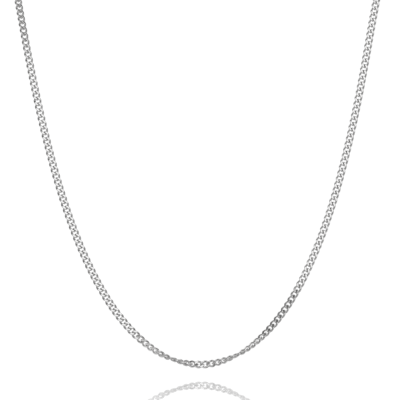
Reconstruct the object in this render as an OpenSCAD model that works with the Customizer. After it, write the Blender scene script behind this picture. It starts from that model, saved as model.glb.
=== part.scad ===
// Curb chain necklace, hanging closed as it is worn.
// The chain is one slender tube along its route; the closure at the nape is
// a plain ring clasp between two small rings.
// The origin is the middle of the closure at the nape, on the plane that its
// inner side touches. +Z is up, and the front of the necklace faces -Y.

/* [Chain] */
// Width of the chain, across its links
chain_w = 2.4; // [1.8:0.1:2.6]
// How far the front leans back for each millimetre that it rises
front_lean = 0.285; // [0.2:0.005:0.35]
// Height of the lowest point of the chain below the nape
drop = 138; // [137:0.5:139]
// Distance of the lowest point in front of the closure's inner side
reach = 93.5; // [91:0.5:95]

/* [Closure] */
// Radius of the clasp's ring, to the middle of its wire
clasp_r = 2.4; // [2.2:0.1:2.6]
// Thickness of the clasp's wire
clasp_wire = 1.2; // [1.0:0.1:1.2]
// Radius of the clasp's soldered tail loop, to the middle of its wire
tail_r = 1.0; // [0.9:0.05:1.1]
// Thickness of the tail loop's wire
tail_wire = 0.6; // [0.5:0.05:0.6]
// Radius of the small ring on the clasp's side, to the middle of its wire
clasp_ring_r = 1.4; // [1.3:0.05:1.5]
// Radius of the ring on the far end of the chain, to the middle of its wire
end_ring_r = 1.6; // [1.5:0.05:1.6]
// Thickness of both small rings' wire
ring_wire = 0.7; // [0.6:0.05:0.7]

/* [Hidden] */
$fn = 64;

silver = [0.86, 0.86, 0.87];

// Gap left between pieces that hang in each other
gap = 0.1;
// How far behind the inner plane the chain's middle runs at the nape
nape_y = 2;

// Closure, laid out along X from the end ring to the clasp's own ring
clasp_x = -1.3;
end_ring_x = clasp_x - clasp_r + (clasp_wire + ring_wire) / 2 + gap - end_ring_r;
tail_x = clasp_x + clasp_r + clasp_wire / 2 + tail_r + 0.1;
clasp_ring_x = tail_x + tail_r - (tail_wire + ring_wire) / 2 - gap + clasp_ring_r;
left_end_x = end_ring_x - end_ring_r - ring_wire / 2 - gap;
right_end_x = clasp_ring_x + clasp_ring_r + ring_wire / 2 + gap;

// Route of the chain, from its left end round the front to its right end.
// Hidden back, left side: x, y, z
back_left = [
    [-17, 1.5, 0], [-28, -1, 0], [-38.5, -5.5, 0], [-47.5, -12, -0.5],
    [-54, -21.5, -1.5], [-57.5, -32, -3.5], [-58.5, -43, -7],
    [-58, -52.5, -13], [-56.5, -59, -21.5]
];
// Front, hanging in a leaning plane: x, z
front = [
    [-54.5, -32], [-52, -44.5], [-49.5, -56.5], [-47, -67.5], [-43.5, -80.5],
    [-39, -94], [-34.5, -105], [-29.5, -115], [-24, -123.5], [-18, -130],
    [-10, -135.5], [1.5, -138], [12, -135], [19, -130], [25, -123.5],
    [30.5, -115], [35, -105.5], [38.5, -96.5], [42, -86], [46, -71.5],
    [48.5, -60.5], [51, -48], [53.5, -34.5]
];
// Hidden back, right side: x, y, z
back_right = [
    [56, -59, -21.5], [57.5, -52.5, -13], [58.5, -43, -7],
    [57.5, -32, -3.5], [54, -21.5, -1.5], [47.5, -12, -0.5],
    [38.5, -5.5, 0], [28, -1, 0], [17, 1.5, 0]
];

function front_y(z) = -reach + front_lean * (z + drop);

route = concat(
    [[left_end_x, nape_y, 0]],
    back_left,
    [for (p = front) [p[0], front_y(p[1]), p[1]]],
    back_right,
    [[right_end_x, nape_y, 0]]
);

// Smooth curve through the route's points, with the tangent at each point
// taken from the parabola through it and its two neighbours
function unit(v) = v / norm(v);
function chord(i) = norm(route[i + 1] - route[i]);
function slope(i) = (route[i + 1] - route[i]) / chord(i);
last = len(route) - 1;
function tangent(i) =
    i == 0 ? [-1, 0, 0] :
    i == last ? [-1, 0, 0] :
    (slope(i - 1) * chord(i) + slope(i) * chord(i - 1)) / (chord(i - 1) + chord(i));
function span_point(i, t) =
    let (h = chord(i), t2 = t * t, t3 = t2 * t)
    (2 * t3 - 3 * t2 + 1) * route[i] + (t3 - 2 * t2 + t) * h * tangent(i)
    + (3 * t2 - 2 * t3) * route[i + 1] + (t3 - t2) * h * tangent(i + 1);

fine = 8;
curve = concat(
    [for (i = [0:last - 1], k = [0:fine - 1]) span_point(i, k / fine)],
    [route[last]]
);
// Length of the curve up to each of its points
run = [for (i = 0, s = 0; i < len(curve);
        s = s + (i + 1 < len(curve) ? norm(curve[i + 1] - curve[i]) : 0), i = i + 1) s];
chain_length = run[len(run) - 1];

// Rings of the tube, evenly spaced along the curve
rings = 79;
function seek(s, lo, hi) =
    hi - lo <= 1 ? lo :
    let (mid = floor((lo + hi) / 2))
    run[mid] > s ? seek(s, lo, mid) : seek(s, mid, hi);
function at(s) =
    let (i = seek(s, 0, len(run) - 1))
    curve[i] + (curve[i + 1] - curve[i]) * (s - run[i]) / (run[i + 1] - run[i]);
line = [for (k = [0:rings - 1]) at(chain_length * k / (rings - 1))];
function heading(k) =
    k == 0 ? [-1, 0, 0] :
    k == rings - 1 ? [-1, 0, 0] :
    unit(line[k + 1] - line[k - 1]);

// Face direction that never lines up with the chain, so the tube can't pinch
face = unit([0, -1, 0.5]);
sides = 8;
function ring_points(k) =
    let (h = heading(k), u = unit(cross(h, face)), v = cross(h, u))
    [for (j = [0:sides - 1])
        line[k] + chain_w / 2 * (cos(360 * j / sides) * u + sin(360 * j / sides) * v)];

module chain() {
    points = [for (k = [0:rings - 1]) each ring_points(k)];
    walls = [for (k = [0:rings - 2], j = [0:sides - 1])
        let (n = (j + 1) % sides)
        [k * sides + j, (k + 1) * sides + j, (k + 1) * sides + n, k * sides + n]];
    caps = [
        [for (j = [0:sides - 1]) j],
        [for (j = [sides - 1:-1:0]) (rings - 1) * sides + j]
    ];
    color(silver) polyhedron(points = points, faces = concat(walls, caps), convexity = 10);
}

// Plain wire ring round the Z axis
module wire_ring(r, wire) {
    rotate_extrude() translate([r, 0]) circle(d = wire);
}

module clasp() {
    color(silver) translate([clasp_x, nape_y, 0]) rotate([90, 0, 0]) {
        wire_ring(clasp_r, clasp_wire);
        translate([tail_x - clasp_x, 0, 0]) wire_ring(tail_r, tail_wire);
        // Thumb stud, standing out of the ring's lower side
        rotate([0, 0, -62]) translate([clasp_r, 0, 0]) rotate([0, 90, 0])
            cylinder(d = 0.8, h = 1.3);
        rotate([0, 0, -62]) translate([clasp_r + 1.3, 0, 0]) sphere(d = 1.0);
    }
}

module clasp_ring() {
    color(silver) translate([clasp_ring_x, nape_y, 0]) wire_ring(clasp_ring_r, ring_wire);
}

module end_ring() {
    color(silver) translate([end_ring_x, nape_y, 0]) wire_ring(end_ring_r, ring_wire);
}

chain();
clasp();
clasp_ring();
end_ring();
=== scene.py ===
"""Curb chain necklace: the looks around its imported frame."""
import math
import random

import bpy
import numpy as np
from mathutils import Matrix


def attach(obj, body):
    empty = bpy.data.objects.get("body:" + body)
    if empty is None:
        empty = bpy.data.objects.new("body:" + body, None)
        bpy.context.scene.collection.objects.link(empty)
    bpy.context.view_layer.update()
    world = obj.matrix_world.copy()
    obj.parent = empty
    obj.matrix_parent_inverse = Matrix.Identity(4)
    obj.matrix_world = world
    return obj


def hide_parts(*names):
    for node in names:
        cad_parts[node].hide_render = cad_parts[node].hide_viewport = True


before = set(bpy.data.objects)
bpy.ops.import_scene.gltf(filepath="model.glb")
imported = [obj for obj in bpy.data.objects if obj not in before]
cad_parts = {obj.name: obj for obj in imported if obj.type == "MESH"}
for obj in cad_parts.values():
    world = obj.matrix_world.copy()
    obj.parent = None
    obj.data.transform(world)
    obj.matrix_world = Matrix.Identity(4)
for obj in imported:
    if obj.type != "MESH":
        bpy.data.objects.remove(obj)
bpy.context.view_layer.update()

MM = 0.001
scene = bpy.context.scene

# ---------------------------------------------------------------- camera
# Level view of the front. The picture is 120 mm across at the lowest point of the chain.
REACH, DROP = 93.5, 138.0
LEVEL = -88.7
SIDE = 0.6
AWAY = 1200.0
cam_data = bpy.data.cameras.new("camera")
cam_data.sensor_width = 36.0
cam_data.lens = 36.0 * AWAY / 120.0
cam_data.dof.use_dof = False
cam_data.clip_start, cam_data.clip_end = 0.05, 20.0
cam = bpy.data.objects.new("camera", cam_data)
cam.location = (SIDE * MM, (-REACH - AWAY) * MM, LEVEL * MM)
cam.rotation_euler = (math.pi / 2, 0, 0)
scene.collection.objects.link(cam)
scene.camera = cam

# ---------------------------------------------------------------- route
# The chain's route, the same points as the solid tube's, in millimetres.
NAPE_Y = 2.0
LEAN = 0.285
END_X = 6.3
BACK_LEFT = [
    (-17, 1.5, 0), (-28, -1, 0), (-38.5, -5.5, 0), (-47.5, -12, -0.5),
    (-54, -21.5, -1.5), (-57.5, -32, -3.5), (-58.5, -43, -7),
    (-58, -52.5, -13), (-56.5, -59, -21.5)]
FRONT = [
    (-54.5, -32), (-52, -44.5), (-49.5, -56.5), (-47, -67.5), (-43.5, -80.5),
    (-39, -94), (-34.5, -105), (-29.5, -115), (-24, -123.5), (-18, -130),
    (-10, -135.5), (1.5, -138), (12, -135), (19, -130), (25, -123.5),
    (30.5, -115), (35, -105.5), (38.5, -96.5), (42, -86), (46, -71.5),
    (48.5, -60.5), (51, -48), (53.5, -34.5)]
BACK_RIGHT = [
    (56, -59, -21.5), (57.5, -52.5, -13), (58.5, -43, -7),
    (57.5, -32, -3.5), (54, -21.5, -1.5), (47.5, -12, -0.5),
    (38.5, -5.5, 0), (28, -1, 0), (17, 1.5, 0)]
route = np.array(
    [(-END_X, NAPE_Y, 0)] + BACK_LEFT
    + [(x, -REACH + LEAN * (z + DROP), z) for x, z in FRONT]
    + BACK_RIGHT + [(END_X, NAPE_Y, 0)], float)


def smooth_route(pts, fine=40):
    chord = np.linalg.norm(np.diff(pts, axis=0), axis=1)
    slope = np.diff(pts, axis=0) / chord[:, None]
    tan = np.zeros_like(pts)
    tan[0] = tan[-1] = (-1, 0, 0)
    for i in range(1, len(pts) - 1):
        tan[i] = (slope[i - 1] * chord[i] + slope[i] * chord[i - 1]) / (chord[i - 1] + chord[i])
    t = (np.arange(fine) / fine)[:, None]
    t2, t3 = t * t, t * t * t
    out = []
    for i in range(len(pts) - 1):
        h = chord[i]
        out.append((2 * t3 - 3 * t2 + 1) * pts[i] + (t3 - 2 * t2 + t) * h * tan[i]
                   + (3 * t2 - 2 * t3) * pts[i + 1] + (t3 - t2) * h * tan[i + 1])
    return np.vstack(out + [pts[-1:]])


curve = smooth_route(route)
run = np.r_[0, np.cumsum(np.linalg.norm(np.diff(curve, axis=0), axis=1))]
LENGTH = run[-1]


def at(s):
    """Point on the route s millimetres from its left end; past either end it runs straight on."""
    p = np.array([np.interp(s, run, curve[:, k]) for k in range(3)])
    if s < 0:
        p = curve[0] + np.array((-1.0, 0, 0)) * s
    if s > LENGTH:
        p = curve[-1] + np.array((-1.0, 0, 0)) * (s - LENGTH)
    return p


def unit(v):
    return v / np.linalg.norm(v)


# ---------------------------------------------------------------- link shape
WIRE = 0.62       # wire thickness
HALF_L = 1.285    # half length of the wire's middle line
HALF_W = 0.885    # half width of the wire's middle line
TWIST = 45.0      # how far each end is turned out of the link's plane
HAND = -1.0       # which way it is turned
FLAT = 0.46       # the flattened faces lie this far in front of and behind the middle
SOFT = 0.05       # over this height the edge of a face is rounded off
SEAM = 0.05       # how much thicker the wire is at its soldered seam
AROUND, ALONG = 18, 64


def link_shape():
    """Vertices, quads, crevice and crown values of one twisted, flattened oval link about the
    origin, long side along X, flat in XY."""
    t = np.linspace(0, 2 * np.pi, ALONG, endpoint=False)

    def middle(t):
        x = HALF_L * np.cos(t)
        w = HALF_W * np.sin(t)
        turn = HAND * math.radians(TWIST) * x / HALF_L
        return np.stack([x, w * np.cos(turn), w * np.sin(turn)], 1), turn

    c, turn = middle(t)
    e = 1e-4
    d = (middle(t + e)[0] - middle(t - e)[0])
    d /= np.linalg.norm(d, axis=1)[:, None]
    up = np.stack([np.zeros_like(turn), -np.sin(turn), np.cos(turn)], 1)
    side = np.cross(up, d)
    side /= np.linalg.norm(side, axis=1)[:, None]
    up = np.cross(d, side)
    seam = 1 + SEAM * np.exp(-((t - 1.35) / 0.09) ** 2)
    v = np.linspace(0, 2 * np.pi, AROUND, endpoint=False)
    pts = (c[:, None, :] + (WIRE / 2 * seam)[:, None, None]
           * (np.cos(v)[None, :, None] * up[:, None, :] + np.sin(v)[None, :, None] * side[:, None, :]))
    z = pts[..., 2]
    over = np.maximum(np.abs(z) - (FLAT - SOFT), 0)
    pts[..., 2] = np.where(over > 0, np.sign(z) * (FLAT - SOFT + SOFT * (1 - np.exp(-over / SOFT))), z)
    # crevice: 1 on the inner side of the ends, where the neighbours sit, 0 on the faces
    inward = -(pts - c[:, None, :]) @ np.array((1.0, 0, 0)) * np.sign(c[:, None, 0]) / (WIRE / 2)
    crevice = np.clip(inward, 0, 1) * np.clip((np.abs(c[:, None, 0]) / HALF_L - 0.35) / 0.5, 0, 1)
    # crown: 1 on the filed and polished faces, 0 on the round of the wire
    crown = np.clip(over / SOFT, 0, 1)
    quads = []
    for i in range(ALONG):
        for j in range(AROUND):
            i2, j2 = (i + 1) % ALONG, (j + 1) % AROUND
            quads.append((i * AROUND + j, i2 * AROUND + j, i2 * AROUND + j2, i * AROUND + j2))
    return pts.reshape(-1, 3), np.array(quads), crevice.ravel(), crown.ravel()


LINK_V, LINK_F, LINK_C, LINK_K = link_shape()

# ---------------------------------------------------------------- placing the links
COUNT = 260
FIRST = 0.095
PITCH = (LENGTH - 2 * FIRST) / (COUNT - 1)

# Direction that the flat of the chain faces along the route: distance, then x, y, z
FACES = [
    (0, 0, 1.0, 0.5), (45, -0.45, 0.85, 0.45), (70, -0.95, 0.35, 0.55), (88, -0.95, -0.35, 0.60),
    (102, -0.60, -0.75, 0.45), (112, -0.15, -1, 0.30), (120, 0, -1, 0.285),
    (371, 0, -1, 0.285), (377, 0.15, -1, 0.30), (386, 0.60, -0.75, 0.45),
    (398, 0.95, -0.35, 0.60), (416, 0.95, 0.35, 0.55), (441, 0.45, 0.85, 0.45), (487, 0, 1.0, -0.5)]
# Roll of the chain about its own line: it has turned over on the left, before it comes round to the
# front, and makes a whole turn at the lowest point. Distance, degrees
ROLLS = [(0, 0), (70, 0), (88, -61), (102, -110), (108, -142), (112, -148), (120, -160), (131, -168),
         (150, -171), (180, -174), (205, -180), (217, -178), (220, -180), (222, -193), (224, -218), (227.5, -231),
         (230, -244), (232.5, -256), (235.6, -292), (238, -306), (240.4, -330), (242.8, -348), (245.3, -388),
         (247.5, -410), (250, -420), (252.5, -440), (254.7, -458), (257, -486), (259.6, -494), (262, -499),
         (264.5, -503), (267, -516), (270, -525), (279, -525), (284, -530), (287, -537), (290, -541),
         (300, -540), (490, -540)]
# The links do not sit quite evenly, and hang closer together where the chain turns over: distance, how
# far along the route they have slid
SLIDE = [(0, 0), (116, -0.44), (128, -0.12), (139, 0.13), (150, 0.29), (160, 0.35), (172, 0.42), (183, 0.4),
         (195, 0.4), (206, 0.3), (218, 0.08), (223, -0.05), (227, -0.1), (232, -0.16), (236.2, -0.29),
         (242.7, -0.82), (246.2, -1.02), (250, -1.14), (253.8, -1.36), (257.7, -1.67), (261.4, -1.81),
         (264.9, -1.87), (269.9, -2.1), (275.9, -2.27), (286.9, -2.39), (298.9, -2.57), (320.9, -2.76),
         (343.9, -2.78), (358.9, -2.65), (365.9, -2.61), (486, 0)]
# Nor do they hang quite on the smooth route: distance, how far outside the loop they lie, in the
# leaning plane of the front
SWAY = [(108, 0), (127, 0.06), (137, 0), (150, -0.09), (160, -0.14), (170, -0.07), (178, 0), (186, 0.08), (194, 0.1),
        (205, 0), (212, -0.08), (218, -0.1), (232, 0), (250, 0.09), (263, 0), (273, -0.15), (284, -0.16),
        (291, -0.1), (298, 0), (306, 0.03), (313, -0.01), (324, -0.1), (333, -0.13), (346, -0.07), (364, -0.03),
        (380, 0)]


def interp_rows(rows, s):
    r = np.array(rows, float)
    return np.array([np.interp(s, r[:, 0], r[:, k]) for k in range(1, r.shape[1])])


def swayed(s):
    """Point on the route as at() gives it, moved by the sway there."""
    d = unit(at(s + 0.5) - at(s - 0.5))
    outside = unit(np.cross(d, (0, -1.0, LEAN)))
    return at(s) + outside * np.mean([interp_rows(SWAY, s + o)[0] for o in (-3, 0, 3)])


def smooth_roll(s):
    return np.mean([interp_rows(ROLLS, s + o)[0] for o in (-1.2, -0.6, 0, 0.6, 1.2)])


rng = random.Random(7)
links = []
for i in range(COUNT):
    s = FIRST + PITCH * i
    s += interp_rows(SLIDE, s)[0]
    p = swayed(s)
    d = unit(swayed(s + 1.0) - swayed(s - 1.0))
    n = interp_rows(FACES, s)
    n = unit(n - d * np.dot(n, d))
    roll = math.radians(smooth_roll(s) + rng.gauss(0, 0.4))
    w = np.cross(n, d)
    n, w = n * math.cos(roll) + w * math.sin(roll), w * math.cos(roll) - n * math.sin(roll)
    yaw, tip = math.radians(rng.gauss(0, 0.2)), math.radians(rng.gauss(0, 0.2))
    d2 = unit(d + w * yaw + n * tip)
    n2 = unit(n - d2 * np.dot(n, d2))
    w2 = np.cross(n2, d2)
    links.append((p, np.stack([d2, w2, n2], 1)))


def chain_piece(name, some):
    verts, faces = [], []
    for k, (p, basis) in enumerate(some):
        verts.append(LINK_V @ basis.T + p)
        faces.append(LINK_F + k * len(LINK_V))
    verts = np.vstack(verts) * MM
    faces = np.vstack(faces)
    mesh = bpy.data.meshes.new(name)
    mesh.vertices.add(len(verts))
    mesh.vertices.foreach_set("co", verts.ravel())
    mesh.loops.add(faces.size)
    mesh.loops.foreach_set("vertex_index", faces.ravel().astype(np.int32))
    mesh.polygons.add(len(faces))
    mesh.polygons.foreach_set("loop_start", np.arange(0, faces.size, 4, dtype=np.int32))
    mesh.polygons.foreach_set("use_smooth", np.ones(len(faces), bool))
    mesh.update(calc_edges=True)
    mesh.validate()
    # tone: a value of each link's own, for its wear
    tone = np.repeat([rng.random() for _ in some], len(LINK_V))
    for key, value in (("crevice", np.tile(LINK_C, len(some))), ("crown", np.tile(LINK_K, len(some))), ("tone", tone)):
        mesh.attributes.new(key, "FLOAT", "POINT").data.foreach_set("value", value.astype(np.float32))
    ob = bpy.data.objects.new(name, mesh)
    scene.collection.objects.link(ob)
    return ob


# ---------------------------------------------------------------- silver
class Shader:
    """A metal material and short names for the nodes that it is made of."""

    def __init__(self, name):
        self.material = bpy.data.materials.new(name)
        self.material.use_nodes = True
        self.tree = self.material.node_tree
        self.bsdf = self.tree.nodes["Principled BSDF"]
        self.bsdf.inputs["Metallic"].default_value = 1.0
        self.place = self.add("ShaderNodeTexCoord").outputs["Object"]

    def add(self, kind, inputs=(), **settings):
        n = self.tree.nodes.new(kind)
        for key, value in settings.items():
            setattr(n, key, value)
        for key, value in dict(inputs).items():
            if isinstance(value, bpy.types.NodeSocket):
                self.tree.links.new(value, n.inputs[key])
            elif value is not None:
                n.inputs[key].default_value = value
        return n

    def calc(self, op, a, b=None):
        return self.add("ShaderNodeMath", {0: a, 1: b}, operation=op).outputs[0]

    def attribute(self, key):
        return self.add("ShaderNodeAttribute", attribute_name=key).outputs["Fac"]

    def noise(self, scale, detail=2.0, where=None):
        """Noise with features 1 / scale metres across."""
        return self.add("ShaderNodeTexNoise", {"Vector": where or self.place, "Scale": scale, "Detail": detail}).outputs["Fac"]

    def remap(self, value, lo, hi, to_lo=0.0, to_hi=1.0):
        return self.add("ShaderNodeMapRange", {
            "Value": value, "From Min": lo, "From Max": hi, "To Min": to_lo, "To Max": to_hi}).outputs["Result"]

    def colour(self, factor, a, b):
        n = self.add("ShaderNodeMix", {0: factor, 6: a, 7: b}, data_type="RGBA")
        return n.outputs[2]

    def bump(self, height, distance, strength=1.0, normal=None):
        return self.add("ShaderNodeBump", {
            "Height": height, "Distance": distance, "Strength": strength, "Normal": normal}).outputs["Normal"]

    def stretched(self, scale):
        """The object's coordinates, scaled apart along each axis."""
        return self.add("ShaderNodeMapping", {"Vector": self.place, "Scale": scale}).outputs["Vector"]

    def near(self, x, y, z, full, none):
        """1 within full metres of a point given in millimetres, 0 further off than none."""
        d = self.add("ShaderNodeVectorMath", {0: self.place, 1: (x * MM, y * MM, z * MM)}, operation="DISTANCE")
        return self.remap(d.outputs["Value"], full, none, 1.0, 0.0)

    def finish(self, colour, roughness, normal):
        for key, value in (("Base Color", colour), ("Roughness", roughness), ("Normal", normal)):
            self.tree.links.new(value, self.bsdf.inputs[key])
        return self.material


BRIGHT = (0.95, 0.948, 0.945, 1)       # freshly polished
WORN = (0.90, 0.895, 0.89, 1)          # handled
TARNISH = (0.41, 0.395, 0.38, 1)        # where polishing does not reach


def link_silver():
    m = Shader("silver_links")
    tone, crevice, crown = (m.attribute(k) for k in ("tone", "crevice", "crown"))
    slow, speck = m.noise(70), m.noise(1500, 3.0)
    wear = m.calc("ADD", m.calc("MULTIPLY", tone, 0.6), m.calc("MULTIPLY", slow, 0.4))
    body = m.colour(wear, BRIGHT, WORN)
    dull = m.calc("MULTIPLY", m.calc("MULTIPLY", crevice, m.remap(speck, 0.38, 0.62, 0.25, 1.0)), 0.65)
    # hairlines left on the faces by filing, and the faint grain of drawn wire elsewhere
    hairs = m.noise(1.0, 2.0, m.stretched((1500, 1500, 14000)))
    grain = m.noise(7000, 2.0)
    rough = m.calc("ADD", m.remap(speck, 0.3, 0.7, 0.08, 0.15), m.calc("MULTIPLY", dull, 0.35))
    rough = m.calc("SUBTRACT", rough, m.calc("MULTIPLY", crown, 0.03))
    normal = m.bump(m.calc("MULTIPLY", hairs, crown), 6e-6, 0.6)
    normal = m.bump(grain, 1e-5, 0.25, normal)
    return m.finish(m.colour(dull, body, TARNISH), rough, normal)


def cast_silver():
    """The clasp: cast, tumbled and polished, dull where the tail loop and the stud are soldered on."""
    m = Shader("silver_cast")
    slow, peel, pits = m.noise(250, 3.0), m.noise(1800, 2.0), m.noise(5200, 1.0)
    solder = m.calc("MAXIMUM", m.near(1.6, 2, 0, 0.0003, 0.0011), m.near(-0.15, 2, -2.4, 0.0003, 0.0009))
    dull = m.calc("MULTIPLY", solder, m.remap(m.noise(2600, 3.0), 0.35, 0.65, 0.25, 0.9))
    pit = m.remap(pits, 0.70, 0.78, 0.0, 1.0)
    dull = m.calc("MAXIMUM", dull, m.calc("MULTIPLY", pit, 0.35))
    rough = m.calc("ADD", m.remap(slow, 0.3, 0.7, 0.10, 0.19), m.calc("MULTIPLY", dull, 0.3))
    normal = m.bump(peel, 2.5e-5, 0.5)
    normal = m.bump(pit, -1e-5, 0.5, normal)
    return m.finish(m.colour(dull, m.colour(slow, BRIGHT, WORN), TARNISH), rough, normal)


def wire_silver(name, x, y, r, seam_turn):
    """A jump ring: drawn wire, with its draw lines running round the ring whose middle is at x, y
    in millimetres, dark at its butt joint and where the next piece rubs on its inner side."""
    m = Shader(name)
    sep = m.add("ShaderNodeSeparateXYZ", {0: m.place})
    dx = m.calc("SUBTRACT", sep.outputs["X"], x * MM)
    dy = m.calc("SUBTRACT", sep.outputs["Y"], y * MM)
    radius = m.calc("SQRT", m.calc("ADD", m.calc("MULTIPLY", dx, dx), m.calc("MULTIPLY", dy, dy)))
    turn = m.calc("ARCTAN2", dy, dx)
    # draw lines: fine across the wire, long along it
    across = m.add("ShaderNodeCombineXYZ", {
        0: m.calc("MULTIPLY", radius, 16000.0), 1: m.calc("MULTIPLY", sep.outputs["Z"], 16000.0),
        2: m.calc("MULTIPLY", turn, 1.5)}).outputs[0]
    lines = m.noise(1.0, 3.0, across)
    speck = m.noise(2400, 3.0)
    inner = m.remap(radius, (r - 0.16) * MM, (r - 0.34) * MM)
    joint = m.remap(m.calc("ABSOLUTE", m.calc("SUBTRACT", turn, seam_turn)), 0.02, 0.05, 1.0, 0.0)
    dull = m.calc("MULTIPLY", inner, m.remap(speck, 0.38, 0.62, 0.15, 0.7))
    dull = m.calc("MAXIMUM", dull, m.calc("MULTIPLY", joint, 0.8))
    rough = m.calc("ADD", m.remap(lines, 0.3, 0.7, 0.09, 0.2), m.calc("MULTIPLY", dull, 0.25))
    normal = m.bump(lines, 5e-6, 0.5)
    normal = m.bump(joint, -3e-5, 0.7, normal)
    return m.finish(m.colour(dull, m.colour(m.noise(300), BRIGHT, WORN), TARNISH), rough, normal)


LINK_SILVER = link_silver()
FINISH = {
    "clasp": cast_silver(),
    "clasp_ring": wire_silver("silver_wire_right", 4.45, NAPE_Y, 1.4, 2.2),
    "end_ring": wire_silver("silver_wire_left", -4.25, NAPE_Y, 1.6, -2.0),
}
groups = [("chain_left_back", 0, 60), ("chain_left_leg", 60, 130),
          ("chain_right_leg", 130, 200), ("chain_right_back", 200, COUNT)]
for name, a, b in groups:
    ob = chain_piece(name, links[a:b])
    ob.data.materials.append(LINK_SILVER)
    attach(ob, "root")
    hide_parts("chain")
for node, material in FINISH.items():
    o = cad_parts[node]
    if not o.material_slots:
        o.data.materials.append(material)
    for slot in o.material_slots:
        slot.material = material

# ---------------------------------------------------------------- floor
FLOOR_Z = -141.2
bpy.ops.mesh.primitive_plane_add(size=6, location=(0, 0, FLOOR_Z * MM))
floor = bpy.context.object
floor.name = "floor"
fm = bpy.data.materials.new("pale_floor")
fm.use_nodes = True
nt = fm.node_tree
for n in list(nt.nodes):
    nt.nodes.remove(n)
out = nt.nodes.new("ShaderNodeOutputMaterial")
mix = nt.nodes.new("ShaderNodeMixShader")
em = nt.nodes.new("ShaderNodeEmission")
em.inputs["Strength"].default_value = 1.02
gl = nt.nodes.new("ShaderNodeBsdfGlossy")
gl.inputs["Roughness"].default_value = 0.0
gl.inputs["Color"].default_value = (1, 1, 1, 1)
fres = nt.nodes.new("ShaderNodeFresnel")
fres.inputs[0].default_value = 1.45
# the mirror image is clearest under the necklace and fades out further off
place = nt.nodes.new("ShaderNodeTexCoord")
reach = nt.nodes.new("ShaderNodeVectorMath")
reach.operation = "DISTANCE"
reach.inputs[1].default_value = (0, -0.045, 0)
fade = nt.nodes.new("ShaderNodeMapRange")
fade.interpolation_type = "SMOOTHSTEP"
fade.inputs["From Min"].default_value = 0.10
fade.inputs["From Max"].default_value = 0.45
fade.inputs["To Min"].default_value = 0.72
fade.inputs["To Max"].default_value = 0.0
scale = nt.nodes.new("ShaderNodeMath")
scale.operation = "MULTIPLY"
nt.links.new(place.outputs["Object"], reach.inputs[0])
nt.links.new(reach.outputs["Value"], fade.inputs["Value"])
nt.links.new(fres.outputs[0], scale.inputs[0])
nt.links.new(fade.outputs["Result"], scale.inputs[1])
nt.links.new(scale.outputs[0], mix.inputs[0])
nt.links.new(em.outputs[0], mix.inputs[1])
nt.links.new(gl.outputs[0], mix.inputs[2])
nt.links.new(mix.outputs[0], out.inputs[0])
floor.data.materials.append(fm)
floor.visible_glossy = False      # the silver sees the room's own table below it, not this plain sheet
floor.visible_diffuse = False

# ---------------------------------------------------------------- studio light
# A dim room with large soft boxes. Each row: azimuth and elevation of its middle in degrees
# (azimuth 0 is +X, -90 is the front), radius in degrees, brightness. Later rows cover earlier ones.
BOXES = [
    (110, 49, 39, 1.0),      # above, behind
    (20, 45, 28, 1.0),       # right, high
    (9, -32, 52, 0.76),      # right, low
    (187, -44, 62, 0.6),     # pale table on the left
    (-83, 22, 40, 1.0),      # large box in front
    (-23, -23, 28, 0.3),     # dim opening, front right
]
ROOM, TABLE = 0.14, 0.24

world = bpy.data.worlds.new("studio")
scene.world = world
world.use_nodes = True
nt = world.node_tree
for n in list(nt.nodes):
    nt.nodes.remove(n)
coord = nt.nodes.new("ShaderNodeTexCoord")


def math_node(op, a, b=None, clamp=False):
    n = nt.nodes.new("ShaderNodeMath")
    n.operation = op
    n.use_clamp = clamp
    for i, v in enumerate((a, b)):
        if v is None:
            continue
        if isinstance(v, (int, float)):
            n.inputs[i].default_value = v
        else:
            nt.links.new(v, n.inputs[i])
    return n.outputs[0]


def ramp(value, lo, hi):
    """0 at lo, 1 at hi, eased."""
    n = nt.nodes.new("ShaderNodeMapRange")
    n.interpolation_type = "SMOOTHSTEP"
    n.inputs["From Min"].default_value = lo
    n.inputs["From Max"].default_value = hi
    nt.links.new(value, n.inputs["Value"])
    return n.outputs["Result"]


def blend(a, b, mask):
    """a where the mask is 0, b where it is 1."""
    return math_node("ADD", a, math_node("MULTIPLY", math_node("SUBTRACT", b, a), mask))


sep = nt.nodes.new("ShaderNodeSeparateXYZ")
nt.links.new(coord.outputs["Generated"], sep.inputs[0])
light = blend(ROOM, TABLE, ramp(math_node("MULTIPLY", sep.outputs["Z"], -1.0), 0.0, 0.5))
for az, el, radius, bright in BOXES:
    a, e = math.radians(az), math.radians(el)
    dot = nt.nodes.new("ShaderNodeVectorMath")
    dot.operation = "DOT_PRODUCT"
    nt.links.new(coord.outputs["Generated"], dot.inputs[0])
    dot.inputs[1].default_value = (math.cos(e) * math.cos(a), math.cos(e) * math.sin(a), math.sin(e))
    angle = math_node("ARCCOSINE", dot.outputs["Value"])
    mask = ramp(math_node("SUBTRACT", math.radians(radius), angle), 0.0, math.radians(radius) / 2)
    light = blend(light, bright, mask)

wout = nt.nodes.new("ShaderNodeOutputWorld")
wmix = nt.nodes.new("ShaderNodeMixShader")
lp = nt.nodes.new("ShaderNodeLightPath")
white = nt.nodes.new("ShaderNodeBackground")
white.inputs[0].default_value = (1, 1, 1, 1)
white.inputs[1].default_value = 1.02
around = nt.nodes.new("ShaderNodeBackground")
around.inputs[0].default_value = (1, 1, 1, 1)
nt.links.new(light, around.inputs[1])
# the background and its mirror image in the floor (the only perfectly sharp surface) are plain white
plain = math_node("MAXIMUM", lp.outputs["Is Camera Ray"], lp.outputs["Is Singular Ray"])
nt.links.new(plain, wmix.inputs[0])
nt.links.new(around.outputs[0], wmix.inputs[1])
nt.links.new(white.outputs[0], wmix.inputs[2])
nt.links.new(wmix.outputs[0], wout.inputs[0])

scene.view_settings.view_transform = "Standard"
scene.view_settings.look = "None"
scene.cycles.use_denoising = False
